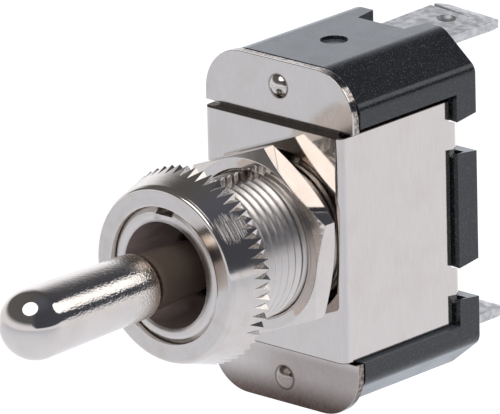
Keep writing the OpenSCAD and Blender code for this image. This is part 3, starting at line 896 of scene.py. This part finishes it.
# Lever.
# Nickel-plated brass, turned to a round-nosed bat with a rounded shoulder, a neck and a ball
# that sits in the bushing. A steel pin through the ball lets it tilt.
tip_r = 2.88 * MM
tip_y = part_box("lever")[0].y + tip_r
body_end_r = 2.66 * MM
shoulder_r = 1.15 * MM
shoulder_y = -15.25 * MM
shoulder_turn = 130
body_end_y = shoulder_y - shoulder_r
neck_front_y = shoulder_y - 0.25 * MM
neck_front_r = 2.36 * MM
neck_r = 2.15 * MM
neck_y = -9.9 * MM
waist_y = neck_y + 0.4 * MM
waist_r = 1.75 * MM
pivot_y = -3.6 * MM
ball_r = 3.45 * MM
tail_r = 2.2 * MM
tail_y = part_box("lever")[1].y
socket_r = 1.52 * MM
socket_y = -2.1 * MM
lever_sides = 128
tip_steps, body_steps, shoulder_steps, ball_steps = 28, 20, 8, 20
lever_angle = 35


def arc(centre_y, centre_r, radius, start, end, steps):
    """Points of an arc in the lever's section, with angles in degrees from -Y towards the rim."""
    points = []
    for i in range(steps + 1):
        angle = math.radians(start + (end - start) * i / steps)
        points.append((centre_y - radius * math.cos(angle), centre_r + radius * math.sin(angle)))
    return points


def lathe(name, outline, sides):
    """Turns an outline of places along Y and radii into a closed mesh round the Y axis."""
    points = []
    for y, radius in outline:
        points += [round_point(whole_turn * j / sides, y, radius) for j in range(sides)]
    loose = mesh_from(name + "_loose", points, rings_joined(len(outline), sides))
    shape = merged_shape([loose], drawn_gap)
    bmesh.ops.recalc_face_normals(shape, faces=shape.faces)
    return mesh_of(name, shape)


taper = math.degrees(math.asin((tip_r - body_end_r) / (body_end_y - tip_y)))
lever_outline = arc(tip_y, 0, tip_r, 0, 90 + taper, tip_steps)
body_start, body_end = lever_outline[-1], (body_end_y, body_end_r)
for i in range(1, body_steps):
    lever_outline.append(tuple(a + (b - a) * i / body_steps for a, b in zip(body_start, body_end)))
shoulder = arc(body_end_y, body_end_r - shoulder_r, shoulder_r, 90 + taper, shoulder_turn, shoulder_steps)
lever_outline += shoulder
lever_outline += [(neck_front_y, neck_front_r), (neck_y, neck_r), (waist_y, waist_r)]
ball_start, ball_end = math.degrees(math.asin(waist_r / ball_r)), math.degrees(math.asin(tail_r / ball_r))
lever_outline += arc(pivot_y, 0, ball_r, ball_start, 180 - ball_end, ball_steps)
lever_outline += [(tail_y, tail_r), (tail_y, socket_r), (socket_y, socket_r), (socket_y, 0)]
lever = link_object("bat_lever", lathe("bat_lever", lever_outline, lever_sides))
smooth_by_angle(lever.data, lever_angle)


def pitted_nickel():
    """Polished nickel over brass, pitted behind the tip and tarnished at the shoulder."""
    material, tree, shader = new_shader("lever_nickel")
    pits = speckle(tree, millimetre_place(tree, (1.0, 0.8, 1.0)), 6.5, 1.5)
    cloud = speckle(tree, millimetre_place(tree), 0.5, 3.0)
    worn = along_axis(tree, "Y", tip_y - 1.0 * MM, tip_y + 2.6 * MM)
    handled = along_axis(tree, "Y", shoulder_y - 2.6 * MM, shoulder_y - 0.6 * MM)
    inside = along_axis(tree, "Y", shoulder_y - 0.9 * MM, shoulder_y + 0.4 * MM)
    tones = shaded(nickel_tone, 0.96), shaded(nickel_tone, 1.04)
    colour = stained_or_shaded(tree, two_tones(tree, between(tree, cloud, 0, 1), *tones), handled, (0.72, 0.6, 0.52))
    plating = {
        "Metallic": between(tree, inside, 1.0, 0.4, 0, 1),
        "Base Color": stained_or_shaded(tree, colour, inside, (0.35, 0.34, 0.34)),
        "Roughness": between(tree, worn, 0.07, 0.1, 0, 1),
        "Normal": relief(tree, maths(tree, "MULTIPLY", pits, worn), 0.023 * MM),
    }
    fill(tree, shader, plating)
    return material


lever.data.materials.append(pitted_nickel())
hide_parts("lever")
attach(lever, "lever")

# Pivot pin, plunger and spring.
# The steel pin crosses the ball and rests in two slots of the bushing. A nylon plunger slides
# in the lever's tail, and a coil of steel wire pushes it against the rocker.
plunger_edge = 0.06 * MM
spring_low, spring_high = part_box("plunger_spring")
spring_gap = 0.02 * MM
wire_r = 0.22 * MM
spring_turns = 5.0
turn_points, wire_sides = 32, 12
spring_angle = 50


def plain_steel():
    """Drawn steel with a faint grain."""
    return nickel("plain_steel", (0.5, 0.5, 0.51), (0.3, 3, 3), (0.28, 0.4), 0.002 * MM)


def nylon():
    """Moulded natural nylon, waxy and a little yellow."""
    material, tree, shader = new_shader("nylon")
    cloud = speckle(tree, millimetre_place(tree), 1.5, 2.0)
    colour = two_tones(tree, between(tree, cloud, 0, 1), (0.62, 0.57, 0.44), (0.7, 0.66, 0.54))
    waxy = {"Base Color": colour, "Roughness": 0.42, "Normal": relief(tree, cloud, 0.003 * MM)}
    fill(tree, shader, waxy)
    return material


def wound_spring(material):
    """A coil of round wire along Y, made by Geometry Nodes from a spiral."""
    sizes = {
        "coil radius": spring_high.x - wire_r - spring_gap,
        "wire radius": wire_r,
        "length": spring_high.y - spring_low.y - 2 * (wire_r + spring_gap),
        "turns": spring_turns,
    }
    tree, given = geometry_tree("wound_spring", {size: "NodeSocketFloat" for size in sizes})
    winding = {
        "Resolution": turn_points,
        "Start Radius": given["coil radius"],
        "End Radius": given["coil radius"],
        "Height": given["length"],
        "Rotations": given["turns"],
    }
    spiral = add_node(tree, "GeometryNodeCurveSpiral", winding).outputs["Curve"]
    section = {"Resolution": wire_sides, "Radius": given["wire radius"]}
    wire = add_node(tree, "GeometryNodeCurvePrimitiveCircle", section).outputs["Curve"]
    drawing = {"Curve": spiral, "Profile Curve": wire, "Fill Caps": True}
    laying = {
        "Geometry": add_node(tree, "GeometryNodeCurveToMesh", drawing).outputs["Mesh"],
        "Rotation": (math.radians(-90), 0, 0),
        "Translation": (0, spring_low.y + wire_r + spring_gap, 0),
    }
    laid = add_node(tree, "GeometryNodeTransform", laying).outputs["Geometry"]
    obj = link_object("coil_spring", bpy.data.meshes.new("coil_spring"))
    return run_tree(obj, tree, laid, material, sizes)


steel = plain_steel()
paint_node("pivot_pin", steel)
plunger = softened(merged_copy("plunger"), "nylon_plunger", plunger_edge)
plunger.data.materials.append(nylon())
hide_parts("plunger")
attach(plunger, "plunger")

spring = wound_spring(steel)
smooth_by_angle(spring.data, spring_angle)
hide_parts("plunger_spring")
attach(spring, "lever")
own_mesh(spring)

# Rocker and contacts.
# A stamped copper-alloy rocker tips on its support and carries a silver contact against the
# fixed one. All of it is closed in by the base.


def copper_alloy():
    """Rolled copper alloy with a dull skin."""
    return nickel("copper_alloy", (0.66, 0.41, 0.2), (0.4, 2, 2), (0.28, 0.42), 0.002 * MM)


def silver():
    """Silver contact face, a little matt."""
    return nickel("contact_silver", (0.78, 0.77, 0.74), (1, 1, 1), (0.3, 0.45), 0.002 * MM)


strip_metal = copper_alloy()
contact_metal = silver()
for node in ("rocker", "rocker_support"):
    paint_node(node, strip_metal)
for node in ("moving_contact", "fixed_contact"):
    paint_node(node, contact_metal)

# Terminals.
# Stamped brass strip, hot tinned and mottled. Each blade leaves the base through a slot, has a
# detent and thins towards its end. The upper one sits in its slot with a slight twist.
blade_edge = 0.05 * MM
blade_half_thick = 0.4 * MM
blade_twist = math.radians(2.6)
blade_lift = 0.06 * MM
blade_root_y = 15.6 * MM
twist_run = 1.4 * MM
blade_end_start = 22.7 * MM
blade_bevel = 1.0 * MM
blade_thinning = 0.17 * MM
left_corner, right_corner = 0.6 * MM, 0.35 * MM


def retip(shape, node):
    """Cuts a blade off past its detent and gives it a bevelled end with small corners."""
    low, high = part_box(node)
    end = high.y
    everything = shape.verts[:] + shape.edges[:] + shape.faces[:]
    cut = (0, blade_end_start, 0)
    bmesh.ops.bisect_plane(shape, geom=everything, plane_co=cut, plane_no=(0, 1, 0), clear_outer=True)
    rim = [v for v in shape.verts if any(e.is_boundary for e in v.link_edges)]
    bottom, top = min(v.co.z for v in rim), max(v.co.z for v in rim)
    middle_z = (bottom + top) / 2
    ring = sorted(rim, key=lambda v: math.atan2(v.co.z - middle_z, v.co.x))
    stations = [
        (end - blade_bevel, 0, 0),
        (end - left_corner, 0, 0),
        (end - right_corner, left_corner - right_corner, 0),
        (end, left_corner, right_corner),
    ]
    for y, left_cut, right_cut in stations:
        half = (top - bottom) / 2 - blade_thinning * (y - end + blade_bevel) / blade_bevel
        left_x, right_x = low.x + left_cut, high.x - right_cut
        corners = [
            (left_x, y, middle_z - half),
            (right_x, y, middle_z - half),
            (right_x, y, middle_z + half),
            (left_x, y, middle_z + half),
        ]
        next_ring = [shape.verts.new(corner) for corner in corners]
        for i in range(4):
            k = (i + 1) % 4
            shape.faces.new((ring[i], ring[k], next_ring[k], next_ring[i]))
        ring = next_ring
    shape.faces.new(ring)
    bmesh.ops.recalc_face_normals(shape, faces=shape.faces)
    return shape


def hot_tin():
    """Hot-dipped tin, matt and mottled with dull grey spots."""
    material, tree, shader = new_shader("hot_tin")
    mottle = speckle(tree, millimetre_place(tree), 1.6, 5.0)
    fine = speckle(tree, millimetre_place(tree), 7.0, 3.0)
    spots = between(tree, mottle, 0, 1, 0.38, 0.62)
    skin = {
        "Metallic": 1.0,
        "Base Color": two_tones(tree, spots, (0.53, 0.53, 0.54), (0.65, 0.65, 0.66)),
        "Roughness": between(tree, mottle, 0.5, 0.36),
        "Normal": relief(tree, fine, 0.006 * MM),
    }
    fill(tree, shader, skin)
    return material


tin = hot_tin()
for node, name, twist, lift in (
    ("terminal_upper", "upper_terminal", blade_twist, blade_lift),
    ("terminal_lower", "lower_terminal", 0.0, 0.0),
):
    terminal = softened(retip(merged_copy(node), node), name, blade_edge)
    middle = Vector((0, 0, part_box(node)[1].z - blade_half_thick))
    turned = Matrix.Rotation(twist, 3, "Y")
    for vertex in terminal.data.vertices:
        share = eased(vertex.co.y, blade_root_y - twist_run, blade_root_y)
        moved = middle + turned @ (vertex.co - middle) + Vector((0, 0, lift))
        vertex.co = vertex.co.lerp(moved, share)
    terminal.data.materials.append(tin)
    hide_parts(node)
    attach(terminal, "body")

# Rivets.
# Brass rivets hold the terminals and the rocker's support, with their heads set in round
# recesses at the rear of the base.
rivet_edge = 0.08 * MM
rivets = {"rivet_upper": "upper_rivet", "rivet_lower": "lower_rivet", "support_rivet": "support_rivets"}


def brass():
    """Brass with a brown, handled skin."""
    return nickel("rivet_brass", (0.62, 0.46, 0.22), (1, 1, 1), (0.25, 0.4), 0.003 * MM, per_mm=3.0)


rivet_brass = brass()
for node, name in rivets.items():
    rivet = softened(merged_copy(node), name, rivet_edge)
    rivet.data.materials.append(rivet_brass)
    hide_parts(node)
    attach(rivet, "body")
